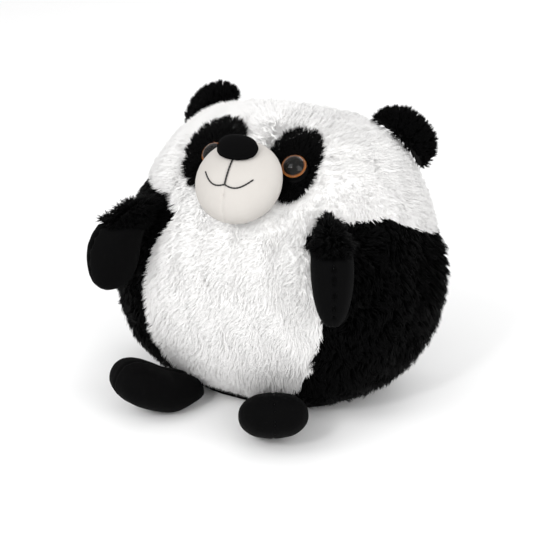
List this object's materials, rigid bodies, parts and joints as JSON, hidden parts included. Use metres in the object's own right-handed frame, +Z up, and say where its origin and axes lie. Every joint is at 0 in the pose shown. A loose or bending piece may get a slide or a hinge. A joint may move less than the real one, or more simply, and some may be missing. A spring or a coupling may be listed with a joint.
{
  "type": "plush toy",
  "caption": "Round sitting plush panda with soft arms, feet and ears that flop at their seams and domed eyes.",
  "frame": {"origin": "on the floor under the seat, in the middle from side to side, at the flat base that the panda sits on", "axes": "+X towards the panda's left across its widest side, -Y the way it faces, +Z up"},
  "size_m": [0.328, 0.2919, 0.2689],
  "materials": {
    "white_fur": "dense cut pile",
    "black_fur": "dense cut pile",
    "black_velour": "short velour",
    "cream_velour": "short velour",
    "filling": "loose polyester fibre",
    "thread": "twisted thread",
    "ribbon": "satin ribbon",
    "eye_black": "gloss",
    "eye_amber": "painted, gloss",
    "eye_clear": "clear moulded plastic",
    "washer_plastic": "moulded"
  },
  "bodies": {
    "torso": {"body_stuffing": "filling", "belly_panel": "white_fur", "face_panel": "white_fur", "head_back_panel": "white_fur", "side_panel_left": "black_fur", "side_panel_right": "black_fur", "back_panel": "black_fur", "base_panel": "black_velour", "muzzle_stuffing": "filling", "muzzle_cover_left": "cream_velour", "muzzle_cover_right": "cream_velour", "nose": "black_velour", "mouth_stitch": "thread", "eye_patch_left": "black_fur", "eye_patch_right": "black_fur", "eye_base_left": "eye_black", "eye_base_right": "eye_black", "eye_iris_left": "eye_amber", "eye_iris_right": "eye_amber", "eye_lens_left": "eye_clear", "eye_lens_right": "eye_clear", "eye_washer_left": "washer_plastic", "eye_washer_right": "washer_plastic", "closing_stitch": "thread", "care_label": "ribbon"},
    "arm_left": {"arm_stuffing_left": "filling", "arm_sleeve_left": "black_fur", "paw_inner_left": "black_velour", "paw_outer_left": "black_velour"},
    "arm_right": {"arm_stuffing_right": "filling", "arm_sleeve_right": "black_fur", "paw_inner_right": "black_velour", "paw_outer_right": "black_velour"},
    "foot_left": {"foot_stuffing_left": "filling", "foot_inner_left": "black_velour", "foot_outer_left": "black_velour"},
    "foot_right": {"foot_stuffing_right": "filling", "foot_inner_right": "black_velour", "foot_outer_right": "black_velour"},
    "ear_left": {"ear_front_left": "black_fur", "ear_back_left": "black_fur"},
    "ear_right": {"ear_front_right": "black_fur", "ear_back_right": "black_fur"}
  },
  "joints": [
    {"name": "arm_left_lift", "type": "hinge", "parent": "torso", "child": "arm_left", "pos_m": [0.087, -0.079, 0.186], "axis": [-0.866, -0.5, 0], "range_deg": [0, 60], "stiffness_Nm_per_rad": 0.02},
    {"name": "arm_right_lift", "type": "hinge", "parent": "torso", "child": "arm_right", "pos_m": [-0.087, -0.079, 0.186], "axis": [-0.866, 0.5, 0], "range_deg": [0, 60], "stiffness_Nm_per_rad": 0.02},
    {"name": "foot_left_lift", "type": "hinge", "parent": "torso", "child": "foot_left", "pos_m": [0.053, -0.1, 0.038], "axis": [-0.8572, -0.515, 0], "range_deg": [0, 20], "stiffness_Nm_per_rad": 0.05},
    {"name": "foot_right_lift", "type": "hinge", "parent": "torso", "child": "foot_right", "pos_m": [-0.053, -0.1, 0.038], "axis": [-0.8572, 0.515, 0], "range_deg": [0, 20], "stiffness_Nm_per_rad": 0.05},
    {"name": "ear_left_fold", "type": "hinge", "parent": "torso", "child": "ear_left", "pos_m": [0.102, 0.049, 0.238], "axis": [0.7154, 0.1521, -0.682], "range_deg": [-25, 15], "stiffness_Nm_per_rad": 0.02},
    {"name": "ear_right_fold", "type": "hinge", "parent": "torso", "child": "ear_right", "pos_m": [-0.102, 0.049, 0.238], "axis": [0.7154, -0.1521, 0.682], "range_deg": [-25, 15], "stiffness_Nm_per_rad": 0.02}
  ]
}
